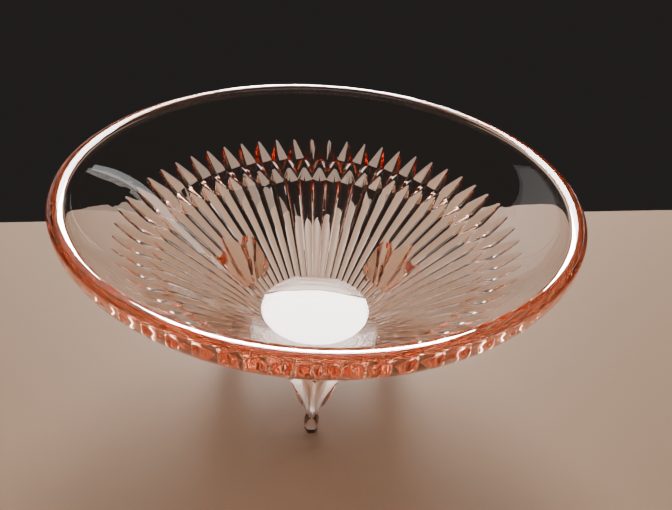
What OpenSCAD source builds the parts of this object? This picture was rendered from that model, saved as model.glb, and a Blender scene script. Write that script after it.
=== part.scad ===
// Three-footed pressed glass dish. The bowl is smooth inside and patterned outside.
// Origin: on the table, under the centre of the bowl. One foot points along -Y.

/* [Bowl] */
// Diameter across the outside of the rim
rim_d = 137.5; // [132:0.5:142]
// Height of the rim above the table
dish_h = 68; // [66:0.5:72]
// Height of the underside of the well floor above the table
base_z = 17.5; // [17:0.5:19]
// Diameter of the well floor
base_d = 39; // [37:1:41]
// Thickness of the bowl wall
wall_t = 4; // [3:0.5:4.5]
// Slope of the wall where it leaves the well, in degrees
base_slope = 45; // [43:1:47]

/* [Rim] */
// Height of the rounded lip
lip_h = 2; // [2:0.5:3]
// Radius of the lip's outer corner
lip_outer_r = 1.2; // [1:0.1:1.4]
// Radius of the lip's inner corner
lip_inner_r = 1; // [0.8:0.1:1.2]
// Slope of the lip's crowned top where it meets the inner corner, in degrees
lip_tilt = 25; // [15:5:30]

/* [Pattern] */
// Number of diamonds, and of ribs, round the bowl
diamond_count = 55; // [48:1:60]
// Height that a diamond's ridge stands above the wall
diamond_relief = 1.9; // [1:0.1:2.2]
// Height that a rib stands above the wall at its outer end
rib_relief = 1.8; // [1:0.1:2.1]
// Height that a rib stands above the wall at the well
rib_end_relief = 0.8; // [0.4:0.1:1]

/* [Feet] */
// Distance of each toe from the dish's axis
toe_ring_r = 29.5; // [28.5:0.5:30.5]
// Width of a toe across its corners
toe_w = 4.2; // [3.6:0.2:5]
// Height of a toe
toe_h = 6; // [5:0.2:7]
// Width of a foot across its side lobes, where they meet the bowl
foot_w = 19.6; // [18:0.4:21.2]

/* [Hidden] */
glass = [0.95, 0.68, 0.58];

rim_r = rim_d / 2;
base_r = base_d / 2;
lip_z = dish_h - lip_h;
pitch = 360 / diamond_count;

// Under the well a flat disc is ringed by a shallow skirt, skirt_h high and skirt_w wide,
// which rises to the wall. The outside of the wall is one cubic curve: it leaves the
// skirt at base_slope and turns upright at the lip. A place along it is a number u from
// 0 to 1.
skirt_h = 1.1;
skirt_w = 3.1;
wall_start_z = base_z + skirt_h;
wall_steps = 36;
dish_steps = 8;
start_pull = 32;
end_pull = 10;
curve = [
    [base_r, wall_start_z],
    [base_r + start_pull * cos(base_slope), wall_start_z + start_pull * sin(base_slope)],
    [rim_r, lip_z - end_pull],
    [rim_r, lip_z]
];

function outer(u) =
    pow(1 - u, 3) * curve[0] + 3 * pow(1 - u, 2) * u * curve[1]
    + 3 * (1 - u) * u * u * curve[2] + pow(u, 3) * curve[3];
function along(u) =
    let (d = pow(1 - u, 2) * (curve[1] - curve[0]) + 2 * (1 - u) * u * (curve[2] - curve[1])
        + u * u * (curve[3] - curve[2]))
    d / norm(d);
// Positive offsets stand out of the wall, and negative ones go through it to the inside
function offset_point(u, out) = outer(u) + out * [along(u)[1], -along(u)[0]];
function inner(u) = offset_point(u, -wall_t);

// The inner surface meets the level floor of the well at floor_z, and it passes over
// the well's rim at edge_u, which is found by halving the interval
function find_edge(low, high, turns) =
    let (mid = (low + high) / 2)
    turns == 0 ? high
    : inner(mid)[0] < base_r ? find_edge(mid, high, turns - 1) : find_edge(low, mid, turns - 1);
floor_z = inner(0)[1];
edge_u = find_edge(0, 0.5, 40);

function arc(centre, r, from, to, steps) =
    [for (i = [0:steps]) let (a = from + (to - from) * i / steps) centre + r * [cos(a), sin(a)]];
// A point on the outside of the wall, out from it by a height, turned by an angle
function on_wall(u, out, a) =
    let (p = offset_point(u, out)) [p[0] * cos(a), p[0] * sin(a), p[1]];

// A point on the inner end of the skirt, out from it by a height, turned by an angle
function on_skirt(out, a) =
    let (p = [base_r - skirt_w, base_z] + out * [skirt_h, -skirt_w] / norm([skirt_h, skirt_w]))
    [p[0] * cos(a), p[0] * sin(a), p[1]];

// A closed skin through rings of points that all have the same number of points.
// Each ring runs clockwise as seen from the last ring.
module loft(rings) {
    n = len(rings[0]);
    last = len(rings) - 1;
    sides = [for (i = [0:last - 1], j = [0:n - 1], t = [0, 1]) let (k = (j + 1) % n)
        t == 0 ? [i * n + j, i * n + k, (i + 1) * n + k]
               : [i * n + j, (i + 1) * n + k, (i + 1) * n + j]];
    floor_cap = [[for (j = [n - 1:-1:0]) j]];
    top_cap = [[for (j = [0:n - 1]) last * n + j]];
    polyhedron(points = [for (ring = rings, p = ring) p], faces = concat(sides, floor_cap, top_cap));
}

module bowl_wall() {
    outside = [for (i = [0:wall_steps]) outer(i / wall_steps)];
    inside = [for (i = [wall_steps:-1:0]) inner(edge_u + (1 - edge_u) * i / wall_steps)];
    color(glass)
    rotate_extrude()
    polygon(concat(outside, inside));
}

// The lip's top is three arcs that run into each other: an outer corner that turns just
// past level, a wide crown that slopes inward, and an inner corner. Angles are the way
// that the surface faces, from outward.
crown_start = 100;
crown_end = 90 + lip_tilt;
outer_steps = 9;
crown_steps = 4;
inner_steps = 6;
crown_r = (wall_t - lip_outer_r * (1 - cos(crown_start)) - lip_inner_r * (1 + cos(crown_end)))
    / (cos(crown_start) - cos(crown_end));
outer_c = [rim_r - lip_outer_r, dish_h - lip_outer_r];
crown_c = outer_c + (lip_outer_r - crown_r) * [cos(crown_start), sin(crown_start)];
inner_c = crown_c + (crown_r - lip_inner_r) * [cos(crown_end), sin(crown_end)];

module rim_lip() {
    color(glass)
    rotate_extrude()
    polygon(concat([[rim_r - wall_t, lip_z], [rim_r, lip_z]],
        arc(outer_c, lip_outer_r, 0, crown_start, outer_steps),
        arc(crown_c, crown_r, crown_start, crown_end, crown_steps),
        arc(inner_c, lip_inner_r, crown_end, 180, inner_steps)));
}

module base_disc() {
    dish = [for (i = [dish_steps:-1:0]) inner(edge_u * i / dish_steps)];
    color(glass)
    rotate_extrude()
    polygon(concat([[0, base_z], [base_r - skirt_w, base_z], [base_r, wall_start_z]],
        dish, [[0, floor_z]]));
}

// Places along the wall where the pattern starts and ends
rib_shoulder_u = 0.38;
rib_tip_u = 0.445;
kite_low_u = 0.40;
kite_wide_u = 0.48;
kite_tip_u = 0.60;
rib_fill = 0.96;
kite_fill = 0.97;
rib_sections = 6;
rib_start_relief = 0.4;
rib_tip_relief = 0.05;
rib_tip_fill = 0.03;

// One V-section rib: a pointed outer end, a shoulder, an even taper down the wall to the
// well, and a low inner end across the skirt
module rib(a) {
    half = pitch / 2 * rib_fill;
    start = [on_skirt(0, a - half), on_skirt(0, a + half), on_skirt(rib_start_relief, a)];
    rings = [for (i = [0:rib_sections])
        let (t = i / rib_sections, u = rib_shoulder_u * t,
            h = rib_end_relief + (rib_relief - rib_end_relief) * t)
        [on_wall(u, 0, a - half), on_wall(u, 0, a + half), on_wall(u, h, a)]];
    tip_half = half * rib_tip_fill;
    tip = [on_wall(rib_tip_u, 0, a - tip_half), on_wall(rib_tip_u, 0, a + tip_half),
        on_wall(rib_tip_u, rib_tip_relief, a)];
    loft(concat([start], rings, [tip]));
}

// The ribs stop where they run into a foot
module rib_band() {
    color(glass)
    difference() {
        for (i = [0:diamond_count - 1]) rib(-90 + (i + 0.5) * pitch);
        for (azimuth = foot_azimuths) rotate([0, 0, azimuth]) loft(foot_leg);
    }
}

// One diamond: a long upper point, a short lower one, and a ridge up the middle
module kite(a) {
    half = pitch / 2 * kite_fill;
    points = [on_wall(kite_low_u, 0, a), on_wall(kite_wide_u, 0, a + half),
        on_wall(kite_tip_u, 0, a), on_wall(kite_wide_u, 0, a - half),
        on_wall(kite_wide_u, diamond_relief, a)];
    polyhedron(points, [[0, 1, 4], [1, 2, 4], [2, 3, 4], [3, 0, 4], [0, 3, 1], [1, 3, 2]]);
}

module kite_band() {
    color(glass)
    for (i = [0:diamond_count - 1]) kite(-90 + i * pitch);
}

// The outside of the bowl as one solid, used to end the feet on the glass
module bowl_core() {
    rotate_extrude()
    polygon(concat([[0, base_z], [base_r - skirt_w, base_z]],
        [for (i = [0:wall_steps]) outer(i / wall_steps)], [[0, lip_z]]));
}

// A level slice through a foot: back corners, side lobes, grooves and the centre lobe.
// Distances are measured out from the toe ring, and widths to each side.
function foot_slice(z, back, back_w, side, side_w, groove, groove_w, front) = [
    for (p = [[back, back_w], [side, side_w], [groove, groove_w], [front, 0],
              [groove, -groove_w], [side, -side_w], [back, -back_w]])
    [toe_ring_r + p[0], p[1], z]];

// A foot is narrow behind its toe, steps out at the knee, and opens into three lobes.
// The toe turns a flat side outward.
foot_azimuths = [-90, 150, 30];
toe_sides = 6;
toe_overlap = 0.4;
neck_z = toe_h + 2.2;
knee_z = toe_h + 5.7;
shank_z = base_z + 3.5;
lobe_z = base_z + 14.1;
top_z = base_z + 21.5;
lobe_w = foot_w / 2;
shank_w = 0.66 * lobe_w;
foot_leg = [
    foot_slice(toe_h - toe_overlap, -1.6, 0.9, -0.2, 1.6, 1.1, 0.8, 1.8),
    foot_slice(neck_z, -1.9, 1.1, 0.1, 2, 1.3, 0.9, 2.1),
    foot_slice(knee_z, -2.7, 2.4, 0.9, 3.8, 1.7, 1, 2.9),
    foot_slice(shank_z, -5.9, 7.2, 2.1, shank_w, 1.7, 3.5, 4.9),
    foot_slice(lobe_z, -10, lobe_w + 1.2, 4.3, lobe_w, 3.1, 4.1, 7.4),
    foot_slice(top_z, -13, lobe_w + 3.2, 5.8, lobe_w + 2.2, 3.9, 5.2, 9)
];

module foot(azimuth) {
    color(glass)
    rotate([0, 0, azimuth])
    union() {
        difference() {
            loft(foot_leg);
            bowl_core();
        }
        translate([toe_ring_r, 0, 0])
        rotate([0, 0, 180 / toe_sides])
        cylinder(d = toe_w, h = toe_h, $fn = toe_sides);
    }
}

module front_foot() foot(foot_azimuths[0]);
module rear_left_foot() foot(foot_azimuths[1]);
module rear_right_foot() foot(foot_azimuths[2]);

bowl_wall();
rim_lip();
base_disc();
rib_band();
kite_band();
front_foot();
rear_left_foot();
rear_right_foot();
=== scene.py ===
"""Looks for a three-footed dish of pale pink pressed glass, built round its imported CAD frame."""

import math

import bmesh
import bpy
import numpy as np
from mathutils import Matrix, Vector


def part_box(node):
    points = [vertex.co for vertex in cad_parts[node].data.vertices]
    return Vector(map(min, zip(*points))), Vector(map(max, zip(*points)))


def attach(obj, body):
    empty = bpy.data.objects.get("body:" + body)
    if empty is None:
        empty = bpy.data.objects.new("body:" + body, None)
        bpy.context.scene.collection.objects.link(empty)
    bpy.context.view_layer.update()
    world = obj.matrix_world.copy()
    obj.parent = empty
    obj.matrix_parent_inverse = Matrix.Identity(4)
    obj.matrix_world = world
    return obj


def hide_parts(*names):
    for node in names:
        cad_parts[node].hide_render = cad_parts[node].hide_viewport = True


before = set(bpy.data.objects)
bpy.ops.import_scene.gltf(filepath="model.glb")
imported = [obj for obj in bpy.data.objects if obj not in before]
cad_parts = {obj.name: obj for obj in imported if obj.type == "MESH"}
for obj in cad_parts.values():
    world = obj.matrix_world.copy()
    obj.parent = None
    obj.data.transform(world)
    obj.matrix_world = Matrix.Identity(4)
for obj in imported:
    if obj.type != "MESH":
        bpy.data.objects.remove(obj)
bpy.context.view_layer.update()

# ---------------------------------------------------------------- sizes

MM = 0.001

# From the frame
lip_low, lip_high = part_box("rim_lip")
disc_low, disc_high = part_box("base_disc")
RIM_R = lip_high[0]
RIM_Z = lip_high[2]
LIP_Z = lip_low[2]
BASE_Z = disc_low[2]
BASE_R = disc_high[0]
START_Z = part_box("bowl_wall")[0][2]

# Repeated from the CAD, as are the wall's curve, the pattern, the lip and the feet below
WALL_T = 4.0 * MM
DIAMONDS = 55
FRONT = -math.pi / 2

# ---------------------------------------------------------------- the wall's curve

BASE_SLOPE = math.radians(45)
START_PULL = 32 * MM
END_PULL = 10 * MM
CURVE = np.array([
    [BASE_R, START_Z],
    [BASE_R + START_PULL * math.cos(BASE_SLOPE), START_Z + START_PULL * math.sin(BASE_SLOPE)],
    [RIM_R, LIP_Z - END_PULL],
    [RIM_R, LIP_Z],
])


def outer(u):
    """The place on the outside of the wall, as radius and height, u from 0 at the well to 1."""
    v = 1 - u
    return v**3 * CURVE[0] + 3 * v * v * u * CURVE[1] + 3 * v * u * u * CURVE[2] + u**3 * CURVE[3]


def out_of_wall(u):
    """The direction straight out of the wall, as radius and height."""
    v = 1 - u
    d = (v * v * (CURVE[1] - CURVE[0]) + 2 * v * u * (CURVE[2] - CURVE[1])
         + u * u * (CURVE[3] - CURVE[2]))
    d = d / np.linalg.norm(d)
    return np.array([d[1], -d[0]])


def inner(u):
    return outer(u) - WALL_T * out_of_wall(u)


# ---------------------------------------------------------------- the pressed pattern

RIB_SHOULDER, RIB_TIP = 0.38, 0.445
KITE_LOW, KITE_WIDE, KITE_TIP = 0.40, 0.48, 0.60
KITE_RELIEF = 1.9 * MM
RIB_RELIEF, RIB_END_RELIEF = 1.8 * MM, 0.8 * MM
SKIRT_W = 3.1 * MM
RIB_START_RELIEF = 0.4 * MM

# How much the mesh rounds what the CAD has crisp or flat: edges, ridges and flanks
EDGE_SOFT = 0.07 * MM
RIDGE_SOFT = 0.035
BULGE = 0.35


def soft_max(a, b, k):
    return 0.5 * (a + b + np.sqrt((a - b) ** 2 + k * k))


def from_ridge(d):
    """Distance from a ridge, in pitches, eased in so that the ridge is slightly round."""
    return np.sqrt(d**2 + RIDGE_SOFT**2) - RIDGE_SOFT


def bulged(v):
    """A flank's height, v from 0 at its foot to 1 at the ridge: steeper at the foot, as if
    fire polishing had rounded it, and the same at the ridge."""
    return v * (1 + BULGE * (1 - np.clip(v, 0, 1)))


def skirt_relief(t, phase):
    """The ribs' inner ends across the skirt, t from 0 at the flat disc to 1 at the wall."""
    across = from_ridge(0.5 - np.abs(phase))
    rib = (RIB_START_RELIEF + (RIB_END_RELIEF - RIB_START_RELIEF) * t) * bulged(1 - 2 * across)
    return soft_max(rib, np.zeros_like(rib), EDGE_SOFT) - EDGE_SOFT / 2


def relief(u, phase):
    """How far the pattern stands out of the wall. phase is in pitches from a diamond's middle."""
    kite_across, rib_across = from_ridge(phase), from_ridge(0.5 - np.abs(phase))
    up = min((KITE_TIP - u) / (KITE_TIP - KITE_WIDE), (u - KITE_LOW) / (KITE_WIDE - KITE_LOW))
    kite = KITE_RELIEF * bulged(up - 2 * kite_across)
    t = min(u / RIB_SHOULDER, 1)
    height = RIB_END_RELIEF + (RIB_RELIEF - RIB_END_RELIEF) * t
    end = min(1.0, (RIB_TIP - u) / (RIB_TIP - RIB_SHOULDER))
    rib = height * bulged(end - 2 * rib_across)
    h = soft_max(kite, rib, EDGE_SOFT)
    return soft_max(h, np.zeros_like(h), EDGE_SOFT) - EDGE_SOFT / 2


# ---------------------------------------------------------------- mesh of the bowl

FINE_PER_DIAMOND, COARSE_PER_DIAMOND = 16, 4
FINE = DIAMONDS * FINE_PER_DIAMOND
COARSE = DIAMONDS * COARSE_PER_DIAMOND
PHASE = (np.arange(FINE) / FINE_PER_DIAMOND + 0.5) % 1.0 - 0.5

OUTER_CORNER, INNER_CORNER = 1.2 * MM, 1.0 * MM
CROWN_START, CROWN_END = 100, 115
OUTER_STEPS, CROWN_STEPS, INNER_STEPS = 9, 5, 6

# Where the rings lie: across the flat disc, over the skirt, up the wall to the lip, back
# down its inside and across the well. The shares are of the disc's or the well's radius.
DISC_SHARES = (0.3, 0.6, 0.85, 0.96, 0.985)
SKIRT_PLACES = np.linspace(0.0, 0.85, 5)
PATTERN_PLACES = np.concatenate([np.linspace(0.0, 0.35, 28), np.linspace(0.358, 0.61, 46)])
PLAIN_PLACES = np.linspace(0.63, 1.0, 18)
INSIDE_PLACES = np.linspace(1.0, 0.0, 36)
WELL_SHARES = (0.985, 0.96, 0.7, 0.35)


def ring(count, r, z):
    a = FRONT + 2 * math.pi * np.arange(count) / count
    r = np.broadcast_to(r, count)
    z = np.broadcast_to(z, count)
    return np.stack([r * np.cos(a), r * np.sin(a), z], 1)


def skirt_ring(t):
    rise = np.array([SKIRT_W, START_Z - BASE_Z])
    p = np.array([BASE_R - SKIRT_W, BASE_Z]) + t * rise
    n = np.array([rise[1], -rise[0]]) / np.linalg.norm(rise)
    h = skirt_relief(t, PHASE)
    return ring(FINE, p[0] + h * n[0], p[1] + h * n[1])


def pattern_ring(u):
    h = relief(u, PHASE)
    p, n = outer(u), out_of_wall(u)
    return ring(FINE, p[0] + h * n[0], p[1] + h * n[1])


def rounded(centre, r, start, end, steps):
    angles = np.radians(np.linspace(start, end, steps))
    return [(centre[0] + r * math.cos(a), centre[1] + r * math.sin(a)) for a in angles]


def lip_line():
    """The lip's section: an outer corner, a wide crown that slopes inward, an inner corner."""
    cos_start, cos_end = math.cos(math.radians(CROWN_START)), math.cos(math.radians(CROWN_END))
    crown = ((WALL_T - OUTER_CORNER * (1 - cos_start) - INNER_CORNER * (1 + cos_end))
             / (cos_start - cos_end))
    turn = [np.array([math.cos(math.radians(a)), math.sin(math.radians(a))])
            for a in (CROWN_START, CROWN_END)]
    outside = np.array([RIM_R - OUTER_CORNER, RIM_Z - OUTER_CORNER])
    middle = outside + (OUTER_CORNER - crown) * turn[0]
    inside = middle + (crown - INNER_CORNER) * turn[1]
    return (rounded(outside, OUTER_CORNER, 0, CROWN_START, OUTER_STEPS)
            + rounded(middle, crown, CROWN_START, CROWN_END, CROWN_STEPS)[1:-1]
            + rounded(inside, INNER_CORNER, CROWN_END, 180, INNER_STEPS))


def bowl_rings():
    """Each ring's kind, "c" for coarse or "f" for fine, and its points."""
    flat_r = BASE_R - SKIRT_W
    rings = [("c", ring(COARSE, flat_r * s, BASE_Z)) for s in DISC_SHARES]
    for t in SKIRT_PLACES:
        rings.append(("f", skirt_ring(float(t))))
    for u in PATTERN_PLACES:
        rings.append(("f", pattern_ring(float(u))))
    for u in PLAIN_PLACES:
        rings.append(("c", ring(COARSE, *outer(float(u)))))
    rings += [("c", ring(COARSE, *p)) for p in lip_line()]
    for u in INSIDE_PLACES:
        rings.append(("c", ring(COARSE, *inner(float(u)))))
    floor_r, floor_z = inner(0.0)
    rings += [("c", ring(COARSE, floor_r * s, floor_z)) for s in WELL_SHARES]
    return rings


def stitch(faces, kind_a, start_a, kind_b, start_b):
    """Faces between two rings. A fine ring has four points for each one of a coarse ring."""
    if kind_a == kind_b:
        n = FINE if kind_a == "f" else COARSE
        for i in range(n):
            j = (i + 1) % n
            faces.append((start_a + i, start_a + j, start_b + j, start_b + i))
        return
    flip = kind_a == "f"
    coarse, fine = (start_b, start_a) if flip else (start_a, start_b)
    for i in range(COARSE):
        j = (i + 1) % COARSE
        f = [fine + (4 * i + k) % FINE for k in range(5)]
        strip = [(coarse + i, f[1], f[0]), (coarse + i, f[2], f[1]), (coarse + i, coarse + j, f[2]),
                 (coarse + j, f[3], f[2]), (coarse + j, f[4], f[3])]
        faces.extend([t[::-1] for t in strip] if flip else strip)


def mesh_object(name, verts, faces):
    mesh = bpy.data.meshes.new(name)
    mesh.from_pydata([tuple(map(float, v)) for v in verts], [], faces)
    mesh.validate()
    bm = bmesh.new()
    bm.from_mesh(mesh)
    bmesh.ops.recalc_face_normals(bm, faces=bm.faces)
    bm.to_mesh(mesh)
    bm.free()
    piece = bpy.data.objects.new(name, mesh)
    bpy.context.scene.collection.objects.link(piece)
    return piece


def make_bowl():
    verts, faces, starts = [], [], []
    for kind, points in bowl_rings():
        starts.append((kind, len(verts)))
        verts.extend(points)
    for (ka, a), (kb, b) in zip(starts, starts[1:]):
        stitch(faces, ka, a, kb, b)
    for start, z in ((starts[0][1], BASE_Z), (starts[-1][1], inner(0.0)[1])):
        centre = len(verts)
        verts.append((0.0, 0.0, z))
        for i in range(COARSE):
            faces.append((start + (i + 1) % COARSE, start + i, centre))
    return mesh_object("pressed_glass_dish", verts, faces)


# ---------------------------------------------------------------- feet

TOE_RING_R = 29.5 * MM
FOOT_SIDES = 72
TOE_LEVELS, LEG_LEVELS = 5, 44
# Tolerances: for a place on a line, for lines that run alongside, and for joined points
TINY, PARALLEL, MERGE = 1e-9, 1e-15, 1e-6


def slice_outline(points):
    """The middle of a level slice and its radii at even angles, each averaged with its
    neighbours. points are in millimetres."""
    half = [(x * MM, y * MM) for x, y in points]
    outline = [(x, -y) for x, y in half] + [(x, y) for x, y in reversed(half) if abs(y) > TINY]
    middle = np.mean([p[0] for p in outline])
    radii = []
    for a in 2 * math.pi * np.arange(FOOT_SIDES) / FOOT_SIDES:
        d = (math.cos(a), math.sin(a))
        best = 0.0
        for p, q in zip(outline, outline[1:] + outline[:1]):
            px, py, ex, ey = p[0] - middle, p[1], q[0] - p[0], q[1] - p[1]
            det = d[0] * ey - d[1] * ex
            if abs(det) < PARALLEL:
                continue
            t = (px * ey - py * ex) / det
            s = (px * d[1] - py * d[0]) / det
            if t > 0 and -TINY <= s <= 1 + TINY:
                best = max(best, t)
        radii.append(best)
    radii = np.array(radii)
    return middle, 0.25 * np.roll(radii, 1) + 0.5 * radii + 0.25 * np.roll(radii, -1)


def toe_points(r):
    """Half of a six-sided slice with a flat side outward, r to its corners."""
    flat = r * math.cos(math.pi / 6)
    return [(-flat, r / 2), (0.0, r), (flat, r / 2)]


# Each slice in millimetres: its height, then its points as distance out from the toe ring
# and half width. The toe's four slices are six-sided. Those of the leg go through the back,
# the side lobe, the groove and the front lobe.
FOOT_SLICES = [
    (0.0, toe_points(1.9)),
    (0.5, toe_points(2.1)),
    (5.4, toe_points(2.1)),
    (6.0, toe_points(1.9)),
    (6.6, [(-1.7, 0.95), (-0.1, 1.7), (1.1, 0.8), (1.9, 0.0)]),
    (8.2, [(-1.9, 1.1), (0.1, 2.0), (1.3, 0.9), (2.1, 0.0)]),
    (11.7, [(-2.7, 2.4), (0.9, 3.8), (1.7, 1.0), (2.9, 0.0)]),
    (21.0, [(-5.9, 7.2), (2.1, 6.5), (1.7, 3.5), (4.9, 0.0)]),
    (31.6, [(-10.0, 11.0), (4.3, 9.8), (3.1, 4.1), (7.4, 0.0)]),
    (39.0, [(-13.0, 13.0), (5.8, 12.0), (3.9, 5.2), (9.0, 0.0)]),
]

# How far a foot runs into the wall, and the bend above which an edge is shaded crisp
EMBED = 1.6 * MM
CRISP_EDGE = math.radians(27)
WALL_LINE = np.array([outer(float(u)) for u in np.linspace(0, 1, 400)])


def wall_height(r):
    """Height of the outside of the wall at a radius."""
    return float(np.interp(r, WALL_LINE[:, 0], WALL_LINE[:, 1]))


def make_foot(azimuth):
    heights = np.array([s[0] for s in FOOT_SLICES]) * MM
    middles, radii = zip(*[slice_outline(s[1]) for s in FOOT_SLICES])
    middles, radii = np.array(middles), np.array(radii)
    leg_start = heights[TOE_LEVELS - 1]
    levels = np.concatenate([heights[:TOE_LEVELS],
                             np.linspace(leg_start, heights[-1], LEG_LEVELS)[1:]])
    verts, faces = [], []
    turn = Matrix.Rotation(azimuth, 3, "Z")

    def point(level, k):
        m = np.interp(level, heights, middles)
        r = np.interp(level, heights, radii[:, k])
        a = 2 * math.pi * k / FOOT_SIDES
        return np.array([TOE_RING_R + m + r * math.cos(a), r * math.sin(a), level])

    tops = []
    for k in range(FOOT_SIDES):
        for level in levels:
            p = point(level, k)
            if level >= wall_height(math.hypot(p[0], p[1])) + EMBED:
                break
        tops.append(level)
    for i in range(len(levels)):
        for k in range(FOOT_SIDES):
            verts.append(turn @ Vector(point(min(levels[i], tops[k]), k)))
    for i in range(len(levels) - 1):
        for k in range(FOOT_SIDES):
            j = (k + 1) % FOOT_SIDES
            a, b = i * FOOT_SIDES, (i + 1) * FOOT_SIDES
            faces.append((a + k, a + j, b + j, b + k))
    foot = mesh_object("foot_form", verts, faces)
    bm = bmesh.new()
    bm.from_mesh(foot.data)
    bmesh.ops.remove_doubles(bm, verts=bm.verts, dist=MERGE)
    bmesh.ops.dissolve_degenerate(bm, dist=MERGE, edges=bm.edges)
    bmesh.ops.holes_fill(bm, edges=[e for e in bm.edges if e.is_boundary], sides=0)
    bmesh.ops.triangulate(bm, faces=bm.faces)
    bmesh.ops.recalc_face_normals(bm, faces=bm.faces)
    bm.to_mesh(foot.data)
    bm.free()
    return foot


def join_glass(bowl, feet):
    for foot in feet:
        union = bowl.modifiers.new("union", "BOOLEAN")
        union.operation = "UNION"
        union.solver = "MANIFOLD"
        union.object = foot
    depsgraph = bpy.context.evaluated_depsgraph_get()
    mesh = bpy.data.meshes.new_from_object(bowl.evaluated_get(depsgraph))
    bowl.modifiers.clear()
    bowl.data = mesh
    for foot in feet:
        bpy.data.objects.remove(foot)
    for p in mesh.polygons:
        p.use_smooth = True
    mesh.set_sharp_from_angle(angle=CRISP_EDGE)
    return bowl


# ---------------------------------------------------------------- glass

def pink_glass():
    mat = bpy.data.materials.new("pink_glass")
    mat.use_nodes = True
    nt = mat.node_tree
    bsdf = nt.nodes["Principled BSDF"]
    bsdf.inputs["Base Color"].default_value = (1.0, 0.985, 0.975, 1)
    bsdf.inputs["Transmission Weight"].default_value = 1.0
    bsdf.inputs["IOR"].default_value = 1.51
    bsdf.inputs["Roughness"].default_value = 0.0
    out = nt.nodes["Material Output"]
    absorb = nt.nodes.new("ShaderNodeVolumeAbsorption")
    absorb.inputs["Color"].default_value = (0.98, 0.53, 0.28, 1)
    absorb.inputs["Density"].default_value = 31
    nt.links.new(absorb.outputs[0], out.inputs["Volume"])
    wave = nt.nodes.new("ShaderNodeTexNoise")
    wave.inputs["Scale"].default_value = 90
    wave.inputs["Detail"].default_value = 1
    coords = nt.nodes.new("ShaderNodeTexCoord")
    bump = nt.nodes.new("ShaderNodeBump")
    bump.inputs["Strength"].default_value = 0.05
    bump.inputs["Distance"].default_value = 0.0006
    nt.links.new(coords.outputs["Object"], wave.inputs["Vector"])
    nt.links.new(wave.outputs[0], bump.inputs["Height"])
    nt.links.new(bump.outputs[0], bsdf.inputs["Normal"])
    return mat


bowl = make_bowl()
feet = [make_foot(FRONT + k * 2 * math.pi / 3) for k in range(3)]
dish = join_glass(bowl, feet)
dish.data.materials.clear()
dish.data.materials.append(pink_glass())
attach(dish, "root")
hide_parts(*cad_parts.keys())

# ---------------------------------------------------------------- floor, light, camera


def plain_material(name, colour, roughness, shine):
    mat = bpy.data.materials.new(name)
    mat.use_nodes = True
    bsdf = mat.node_tree.nodes["Principled BSDF"]
    bsdf.inputs["Base Color"].default_value = (*colour, 1)
    bsdf.inputs["Roughness"].default_value = roughness
    bsdf.inputs["Specular IOR Level"].default_value = shine
    return mat


# The floor ends behind the dish, in a line that runs a little askew
FLOOR_REACH = 3
EDGE_LEFT_Y, EDGE_RIGHT_Y = -0.272, 0.448
floor = mesh_object("floor", [(-FLOOR_REACH, -FLOOR_REACH, 0), (FLOOR_REACH, -FLOOR_REACH, 0),
                              (FLOOR_REACH, EDGE_RIGHT_Y, 0), (-FLOOR_REACH, EDGE_LEFT_Y, 0)],
                    [(0, 1, 2, 3)])
floor.data.materials.append(plain_material("pale_floor", (0.33, 0.21, 0.135), 0.6, 0.08))


def softbox(name, place, target, size, power, colour=(1, 1, 1)):
    data = bpy.data.lights.new(name, "AREA")
    data.shape = "RECTANGLE"
    data.size, data.size_y = size
    data.energy = power
    data.color = colour
    lamp = bpy.data.objects.new(name, data)
    lamp.location = place
    lamp.rotation_euler = (Vector(target) - Vector(place)).to_track_quat("-Z", "Y").to_euler()
    bpy.context.scene.collection.objects.link(lamp)
    return lamp


softbox("back_window", (0.02, 0.76, 0.58), (0, 0, 0.03), (0.30, 0.36), 20)
# The sill shows in the glass and leaves the floor unlit
sill = softbox("window_sill", (0.02, 0.95, 0.40), (0, 0, 0.05), (0.34, 0.22), 60)
sill.visible_diffuse = False
softbox("right_strip", (0.48, 0.60, 0.37), (-0.055, 0.02, 0.055), (0.05, 0.34), 0.2)

# Nested panels add up to one whose edges fade
for share in (1.0, 0.84, 0.68, 0.52, 0.36):
    softbox("left_haze", (-0.42, 0.75, 0.27), (0.06, 0.01, 0.06), (0.9 * share, 0.5 * share),
            0.9 * share**2)
softbox("top_fill", (0, 0.15, 1.0), (0, 0, 0), (0.5, 0.5), 1)

LOW_AIM = Vector((0, 0.05, 0.046))
LOW_ELEVATION = math.radians(-37)
LOW_DISTANCE = 3.0
LOW_AZIMUTH = 26


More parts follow.
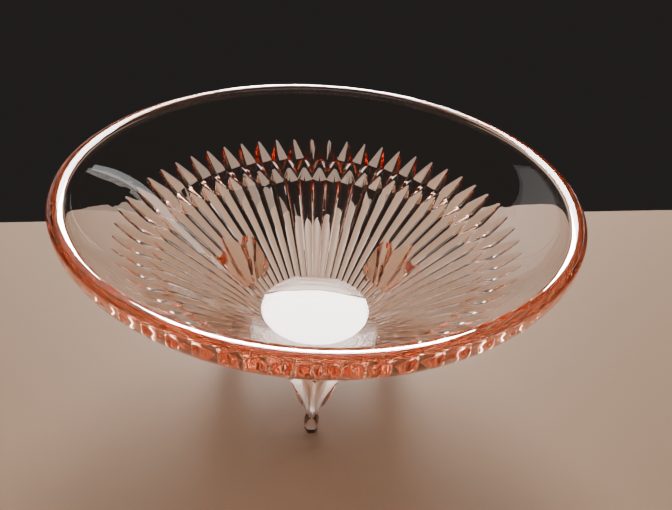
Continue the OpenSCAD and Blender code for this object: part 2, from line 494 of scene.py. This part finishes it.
def low_panel(name, azimuth, size, power, colour):
    """A soft panel below the table's level and behind its edge, which the table hides."""
    a = math.radians(azimuth)
    way = Vector((math.sin(a) * math.cos(LOW_ELEVATION), math.cos(a) * math.cos(LOW_ELEVATION),
                  math.sin(LOW_ELEVATION)))
    return softbox(name, LOW_AIM + LOW_DISTANCE * way, LOW_AIM, size, power, colour)


for side, azimuth in (("left", -LOW_AZIMUTH), ("right", LOW_AZIMUTH)):
    low_panel("low_glow_" + side, azimuth, (1.1, 0.6), 0.9, (1.0, 0.75, 0.6))
    low_panel("low_glint_" + side, azimuth, (0.42, 0.3), 1.6, (1, 1, 1))

world = bpy.data.worlds.new("studio")
world.use_nodes = True
background = world.node_tree.nodes["Background"]
background.inputs["Color"].default_value = (0.02, 0.018, 0.017, 1)
background.inputs["Strength"].default_value = 1.0
bpy.context.scene.world = world

# Light is guided a long way inside the pressed wall, so its paths need many turns
LIGHT_TURNS = 40
cycles = bpy.context.scene.cycles
cycles.max_bounces = LIGHT_TURNS
cycles.transmission_bounces = LIGHT_TURNS
cycles.glossy_bounces = LIGHT_TURNS

CAM_AZIMUTH = math.radians(-91.5)
CAM_ELEVATION = math.radians(27.97)
CAM_DISTANCE = 166.5 * MM
CAM_YAW, CAM_PITCH, CAM_ROLL = (math.radians(a) for a in (1.66, 7.34, -3.48))
LENS, SENSOR = 32.96, 36.0

aim = Vector((0, 0, RIM_Z))
place = aim + CAM_DISTANCE * Vector((
    math.cos(CAM_ELEVATION) * math.cos(CAM_AZIMUTH),
    math.cos(CAM_ELEVATION) * math.sin(CAM_AZIMUTH),
    math.sin(CAM_ELEVATION)))
back = (place - aim).normalized()
right = Vector((0, 0, 1)).cross(back).normalized()
up = back.cross(right)
level = Matrix((right, up, back)).transposed()
turned = (level @ Matrix.Rotation(-CAM_YAW, 3, "Y") @ Matrix.Rotation(-CAM_PITCH, 3, "X")
          @ Matrix.Rotation(-CAM_ROLL, 3, "Z"))

camera_data = bpy.data.cameras.new("camera")
camera_data.lens = LENS
camera_data.sensor_width = SENSOR
camera_data.sensor_fit = "HORIZONTAL"
camera_data.clip_start = 0.01
camera = bpy.data.objects.new("camera", camera_data)
camera.matrix_world = Matrix.Translation(place) @ turned.to_4x4()
bpy.context.scene.collection.objects.link(camera)
bpy.context.scene.camera = camera
